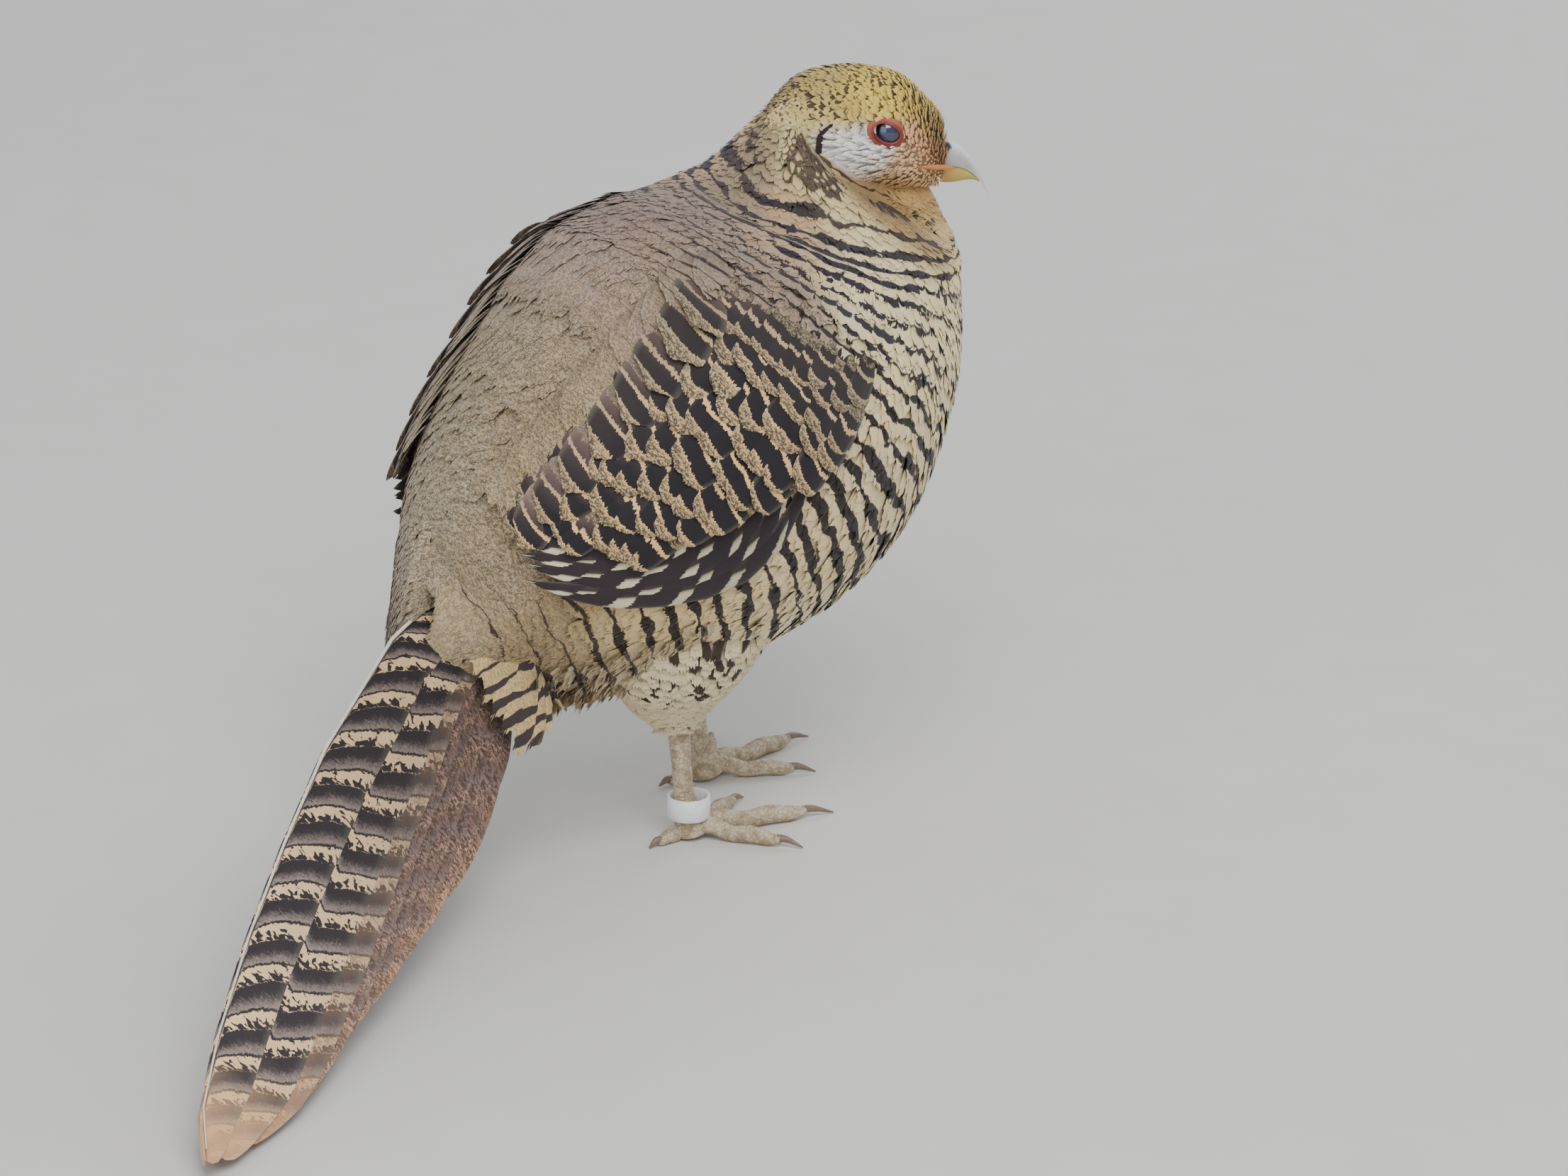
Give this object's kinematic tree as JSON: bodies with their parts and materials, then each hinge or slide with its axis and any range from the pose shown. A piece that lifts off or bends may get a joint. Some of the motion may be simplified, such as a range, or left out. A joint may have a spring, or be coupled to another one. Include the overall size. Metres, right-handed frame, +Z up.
{
  "type": "golden pheasant hen",
  "caption": "Still life-size hen golden pheasant standing on both legs, head turned to its right, tail swung and laid on the ground.",
  "frame": {"origin": "centre of the bounding box on the ground plane under the feet and the laid tail", "axes": "+Z up, the bird faces -Y, its left side is +X and its tail reaches back along +Y"},
  "size_m": [0.2718, 0.4246, 0.2806],
  "materials": {
    "body_feathers": "soft feathers",
    "neck_feathers": "soft feathers",
    "head_feathers": "short soft feathers",
    "wing_feathers": "smooth barred feathers",
    "tail_feathers": "smooth barred feathers",
    "belly_feathers": "fluffy feathers",
    "bill": "horn",
    "eye": "wet gloss",
    "leg_skin": "scaly skin",
    "ring": "satin"
  },
  "bodies": {
    "root": {"torso": "body_feathers", "neck": "neck_feathers", "head": "head_feathers", "bill_upper": "bill", "bill_lower": "bill", "eye_left": "eye", "eye_right": "eye", "wing_left": "wing_feathers", "wing_right": "wing_feathers", "tail": "tail_feathers", "thigh_left": "belly_feathers", "thigh_right": "belly_feathers", "shank_left": "leg_skin", "shank_right": "leg_skin", "foot_left": "leg_skin", "foot_right": "leg_skin", "leg_ring": "ring"}
  },
  "joints": []
}
